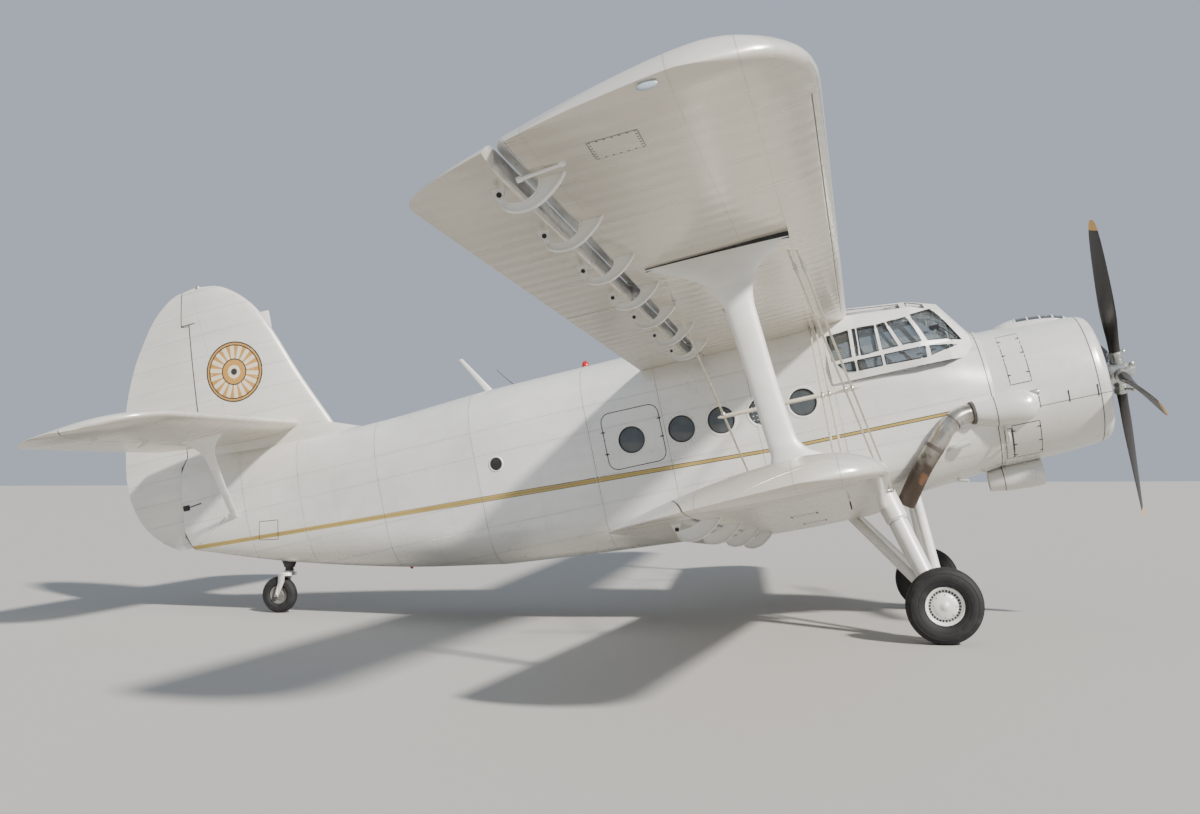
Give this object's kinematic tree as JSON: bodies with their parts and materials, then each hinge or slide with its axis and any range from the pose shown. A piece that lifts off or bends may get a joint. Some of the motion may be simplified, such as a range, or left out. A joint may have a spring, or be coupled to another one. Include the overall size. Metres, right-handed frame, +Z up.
{
  "type": "light transport biplane",
  "caption": "Single-engined transport biplane on tail-wheel gear, with slats, flaps, cabin doors and a four-bladed propeller.",
  "frame": {"origin": "middle of the plan on the ground, with the aircraft parked on its three wheels", "axes": "+X forwards, +Y to the left wing tip, +Z up"},
  "size_m": [13.0338, 18.1582, 4.6141],
  "materials": {
    "white_paint": "satin gloss pearly white with a gold stripe",
    "cabin_grey": "matt grey-green",
    "seat_fabric": "dark woven",
    "black_paint": "satin black",
    "bare_metal": "bare, lightly brushed",
    "steel": "streamlined tie rods",
    "burnt_steel": "heat-stained brown and blue",
    "window_glass": "clear",
    "tyre_rubber": "matt black"
  },
  "bodies": {
    "airframe": {"nose_shell": "white_paint", "cabin_shell": "white_paint", "escape_hatch": "white_paint", "canopy_frame": "white_paint", "canopy_glazing": "window_glass", "cabin_floor": "cabin_grey", "flight_floor": "cabin_grey", "bulkhead": "cabin_grey", "seat_right": "seat_fabric", "seat_left": "seat_fabric", "instrument_panel": "black_paint", "engine": "bare_metal", "engine_cowling": "white_paint", "nose_cowl": "white_paint", "oil_cooler": "white_paint", "exhaust_shroud": "white_paint", "exhaust_pipe": "burnt_steel", "upper_wing_right": "white_paint", "lower_wing_right": "white_paint", "upper_wing_left": "white_paint", "lower_wing_left": "white_paint", "interplane_strut_right": "white_paint", "bracing_right": "steel", "main_leg_right": "white_paint", "interplane_strut_left": "white_paint", "bracing_left": "steel", "main_leg_left": "white_paint", "tail_cone": "white_paint", "fin": "white_paint", "tailplane_right": "white_paint", "tailplane_strut_right": "white_paint", "tailplane_left": "white_paint", "tailplane_strut_left": "white_paint", "tail_leg": "black_paint"},
    "cargo_door": {"cargo_door": "white_paint"},
    "crew_door": {"crew_door": "white_paint"},
    "propeller": {"propeller_hub": "bare_metal", "blade_1": "black_paint", "blade_2": "black_paint", "blade_3": "black_paint", "blade_4": "black_paint"},
    "main_wheel_right": {"main_wheel_right": "white_paint", "main_tyre_right": "tyre_rubber"},
    "main_wheel_left": {"main_wheel_left": "white_paint", "main_tyre_left": "tyre_rubber"},
    "tail_fork": {"tail_fork": "white_paint"},
    "tail_wheel": {"tail_wheel": "white_paint", "tail_tyre": "tyre_rubber"},
    "rudder": {"rudder": "white_paint"},
    "elevator": {"elevator_right": "white_paint", "elevator_left": "white_paint"},
    "aileron_right": {"aileron_right": "white_paint"},
    "upper_flap_right": {"upper_flap_right": "white_paint"},
    "lower_flap_right": {"lower_flap_right": "white_paint"},
    "slat_right": {"slat_right": "white_paint"},
    "aileron_left": {"aileron_left": "white_paint"},
    "upper_flap_left": {"upper_flap_left": "white_paint"},
    "lower_flap_left": {"lower_flap_left": "white_paint"},
    "slat_left": {"slat_left": "white_paint"}
  },
  "joints": [
    {"name": "propeller_spin", "type": "hinge", "parent": "airframe", "child": "propeller", "pos_m": [6.16461, 0, 2.92656], "axis": [0.9798, 0, 0.2001], "continuous": true},
    {"name": "main_wheel_right_spin", "type": "hinge", "parent": "airframe", "child": "main_wheel_right", "pos_m": [4.06766, -1.654, 0.39999], "axis": [0, 1, 0], "continuous": true},
    {"name": "main_wheel_left_spin", "type": "hinge", "parent": "airframe", "child": "main_wheel_left", "pos_m": [4.06766, 1.654, 0.39999], "axis": [0, 1, 0], "continuous": true},
    {"name": "tail_fork_swivel", "type": "hinge", "parent": "airframe", "child": "tail_fork", "pos_m": [-4.10496, 0, 0.54701], "axis": [0, 0, 1], "continuous": true},
    {"name": "tail_wheel_spin", "type": "hinge", "parent": "tail_fork", "child": "tail_wheel", "pos_m": [-4.23696, 0, 0.23501], "axis": [0, 1, 0], "continuous": true},
    {"name": "rudder_hinge", "type": "hinge", "parent": "airframe", "child": "rudder", "pos_m": [-5.57603, 0, 1.39078], "axis": [-0.0803, 0, 0.9968], "range_deg": [-28, 28]},
    {"name": "elevator_hinge", "type": "hinge", "parent": "airframe", "child": "elevator", "pos_m": [-5.08868, 0, 2.25576], "axis": [0, 1, 0], "range_deg": [-22.5, 42]},
    {"name": "aileron_right_hinge", "type": "hinge", "parent": "airframe", "child": "aileron_right", "pos_m": [1.20647, -6.829, 3.35745], "axis": [0.01, 0.9988, -0.0489], "range_deg": [-14, 30]},
    {"name": "aileron_left_hinge", "type": "hinge", "parent": "airframe", "child": "aileron_left", "pos_m": [1.20647, 6.829, 3.35745], "axis": [-0.01, 0.9988, 0.0489], "range_deg": [-14, 30]},
    {"name": "upper_flap_right_hinge", "type": "hinge", "parent": "airframe", "child": "upper_flap_right", "pos_m": [1.24744, -2.73011, 3.15681], "axis": [0.01, 0.9988, -0.0489], "range_deg": [-40, 0]},
    {"name": "upper_flap_left_hinge", "type": "hinge", "parent": "airframe", "child": "upper_flap_left", "pos_m": [1.24744, 2.73011, 3.15681], "axis": [-0.01, 0.9988, 0.0489], "range_deg": [-40, 0]},
    {"name": "lower_flap_right_hinge", "type": "hinge", "parent": "airframe", "child": "lower_flap_right", "pos_m": [1.93544, -3.67619, 1.21931], "axis": [0.015, 0.9972, -0.0735], "range_deg": [-40, 0]},
    {"name": "lower_flap_left_hinge", "type": "hinge", "parent": "airframe", "child": "lower_flap_left", "pos_m": [1.93544, 3.67619, 1.21931], "axis": [-0.015, 0.9972, 0.0735], "range_deg": [-40, 0]},
    {"name": "slat_right_slide", "type": "slide", "parent": "airframe", "child": "slat_right", "axis": [0.968, 0.0026, 0.251], "range_m": [0, 0.07]},
    {"name": "slat_left_slide", "type": "slide", "parent": "airframe", "child": "slat_left", "axis": [0.968, -0.0026, 0.251], "range_m": [0, 0.07]},
    {"name": "cargo_door_hinge", "type": "hinge", "parent": "airframe", "child": "cargo_door", "pos_m": [-0.13771, 0.91, 2.70121], "axis": [0.9798, 0, 0.2001], "range_deg": [0, 90]},
    {"name": "crew_door_hinge", "type": "hinge", "parent": "cargo_door", "child": "crew_door", "pos_m": [0.70334, 0.862, 1.60123], "axis": [-0.2001, 0, 0.9798], "range_deg": [0, 90]}
  ],
  "couplings": [
    {"joint": "upper_flap_left_hinge", "follows": "upper_flap_right_hinge", "ratio": 1},
    {"joint": "lower_flap_left_hinge", "follows": "lower_flap_right_hinge", "ratio": 1}
  ]
}
